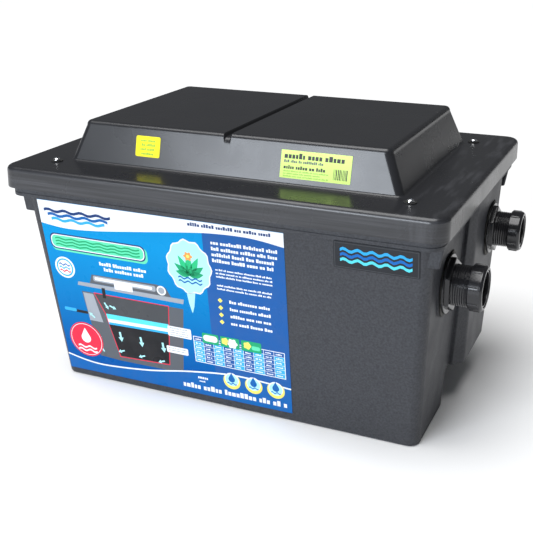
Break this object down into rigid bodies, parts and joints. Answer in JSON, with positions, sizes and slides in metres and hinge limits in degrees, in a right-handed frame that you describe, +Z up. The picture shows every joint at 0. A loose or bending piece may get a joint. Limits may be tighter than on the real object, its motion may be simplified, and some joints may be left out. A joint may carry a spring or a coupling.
{
  "type": "flow-through box pond filter",
  "caption": "Box pond filter: drafted tank with a lift-off domed lid, UV unit under the lid, foam and media chamber inside, threaded hose connectors on one end.",
  "frame": {"origin": "middle of the tank's underside, on the floor", "axes": "+X towards the end with the hose connectors, -Y towards the front face with the large label, +Z up"},
  "size_m": [0.7268, 0.4926, 0.4303],
  "materials": {
    "tank_plastic": "textured, satin black",
    "lid_plastic": "smooth semi-gloss thermoformed black",
    "fitting_plastic": "moulded black, glossy",
    "inner_plastic": "moulded dark grey",
    "seal_rubber": "matt grey",
    "black_rubber": "matt black",
    "chrome": "bright plated",
    "zinc_steel": "zinc plated",
    "dark_washer": "satin black",
    "quartz": "clear",
    "lamp_glass": "milky",
    "white_plastic": "moulded white",
    "foam_blue": "open-cell foam",
    "foam_cream": "open-cell foam",
    "foam_teal": "open-cell foam",
    "media_net": "net bag of plastic media",
    "label_print": "printed film",
    "badge_print": "domed printed badge",
    "sticker_yellow": "printed film",
    "sticker_lime": "printed film"
  },
  "bodies": {
    "filter_tank": {"tank": "tank_plastic", "inner_container": "inner_plastic", "media_support_grid": "inner_plastic", "bio_media_bag_left": "media_net", "bio_media_bag_right": "media_net", "foam_fine": "foam_teal", "foam_medium": "foam_cream", "foam_coarse": "foam_blue", "spray_plate": "inner_plastic", "baffle_panel": "inner_plastic", "inlet_riser": "inner_plastic", "outlet_tail": "fitting_plastic", "outlet_gasket": "seal_rubber", "outlet_back_nut": "fitting_plastic", "inlet_tail": "fitting_plastic", "inlet_gasket": "seal_rubber", "inlet_back_nut": "fitting_plastic", "front_label": "label_print", "name_badge": "badge_print"},
    "lid": {"lid_cover": "lid_plastic", "uv_tray": "inner_plastic", "quartz_sleeve": "quartz", "uv_lamp": "lamp_glass", "lamp_holder": "white_plastic", "sleeve_o_ring": "black_rubber", "sleeve_clip": "white_plastic", "lamp_bracket": "inner_plastic", "ballast_box": "fitting_plastic", "gland_body": "fitting_plastic", "gland_nut": "fitting_plastic", "gland_locknut": "fitting_plastic", "downspout": "inner_plastic", "riser_seal": "seal_rubber", "screw_nut_1": "zinc_steel", "screw_nut_2": "zinc_steel", "screw_nut_3": "zinc_steel", "screw_nut_4": "zinc_steel", "yellow_sticker": "sticker_yellow", "rating_sticker": "sticker_lime"},
    "lid_washer_1": {"screw_washer_1": "dark_washer"},
    "lid_screw_body_1": {"lid_screw_1": "chrome"},
    "lid_washer_2": {"screw_washer_2": "dark_washer"},
    "lid_screw_body_2": {"lid_screw_2": "chrome"},
    "lid_washer_3": {"screw_washer_3": "dark_washer"},
    "lid_screw_body_3": {"lid_screw_3": "chrome"},
    "lid_washer_4": {"screw_washer_4": "dark_washer"},
    "lid_screw_body_4": {"lid_screw_4": "chrome"},
    "outlet_liner_body": {"outlet_liner": "fitting_plastic", "outlet_o_ring": "black_rubber"},
    "outlet_nut_body": {"outlet_union_nut": "fitting_plastic"},
    "inlet_liner_body": {"inlet_liner": "fitting_plastic", "inlet_o_ring": "black_rubber"},
    "inlet_nut_body": {"inlet_union_nut": "fitting_plastic"}
  },
  "joints": [
    {"name": "lid_lift", "type": "slide", "parent": "filter_tank", "child": "lid", "axis": [0, 0, 1], "range_m": [0, 0.15]},
    {"name": "screw_1_rise", "type": "slide", "parent": "lid", "child": "lid_washer_1", "axis": [0, 0, 1], "range_m": [0, 0.004]},
    {"name": "screw_1_turn", "type": "hinge", "parent": "lid_washer_1", "child": "lid_screw_body_1", "pos_m": [-0.279, -0.189, 0.3697], "axis": [0, 0, 1], "range_deg": [0, 1440]},
    {"name": "screw_2_rise", "type": "slide", "parent": "lid", "child": "lid_washer_2", "axis": [0, 0, 1], "range_m": [0, 0.004]},
    {"name": "screw_2_turn", "type": "hinge", "parent": "lid_washer_2", "child": "lid_screw_body_2", "pos_m": [0.279, -0.189, 0.3697], "axis": [0, 0, 1], "range_deg": [0, 1440]},
    {"name": "screw_3_rise", "type": "slide", "parent": "lid", "child": "lid_washer_3", "axis": [0, 0, 1], "range_m": [0, 0.004]},
    {"name": "screw_3_turn", "type": "hinge", "parent": "lid_washer_3", "child": "lid_screw_body_3", "pos_m": [-0.279, 0.176, 0.3697], "axis": [0, 0, 1], "range_deg": [0, 1440]},
    {"name": "screw_4_rise", "type": "slide", "parent": "lid", "child": "lid_washer_4", "axis": [0, 0, 1], "range_m": [0, 0.004]},
    {"name": "screw_4_turn", "type": "hinge", "parent": "lid_washer_4", "child": "lid_screw_body_4", "pos_m": [0.279, 0.176, 0.3697], "axis": [0, 0, 1], "range_deg": [0, 1440]},
    {"name": "outlet_nut_travel", "type": "slide", "parent": "filter_tank", "child": "outlet_liner_body", "axis": [1, 0, 0], "range_m": [0, 0.0096]},
    {"name": "outlet_nut_turn", "type": "hinge", "parent": "outlet_liner_body", "child": "outlet_nut_body", "pos_m": [0.3575, -0.1175, 0.2365], "axis": [1, 0, 0], "range_deg": [0, 1080]},
    {"name": "inlet_nut_travel", "type": "slide", "parent": "filter_tank", "child": "inlet_liner_body", "axis": [1, 0, 0], "range_m": [0, 0.0096]},
    {"name": "inlet_nut_turn", "type": "hinge", "parent": "inlet_liner_body", "child": "inlet_nut_body", "pos_m": [0.3733, 0.0825, 0.259], "axis": [1, 0, 0], "range_deg": [0, 1080]}
  ],
  "couplings": [
    {"joint": "screw_1_turn", "follows": "screw_1_rise", "rad_per_m": 6283.2},
    {"joint": "screw_2_turn", "follows": "screw_2_rise", "rad_per_m": 6283.2},
    {"joint": "screw_3_turn", "follows": "screw_3_rise", "rad_per_m": 6283.2},
    {"joint": "screw_4_turn", "follows": "screw_4_rise", "rad_per_m": 6283.2},
    {"joint": "outlet_nut_turn", "follows": "outlet_nut_travel", "rad_per_m": 1963.5},
    {"joint": "inlet_nut_turn", "follows": "inlet_nut_travel", "rad_per_m": 1963.5}
  ]
}
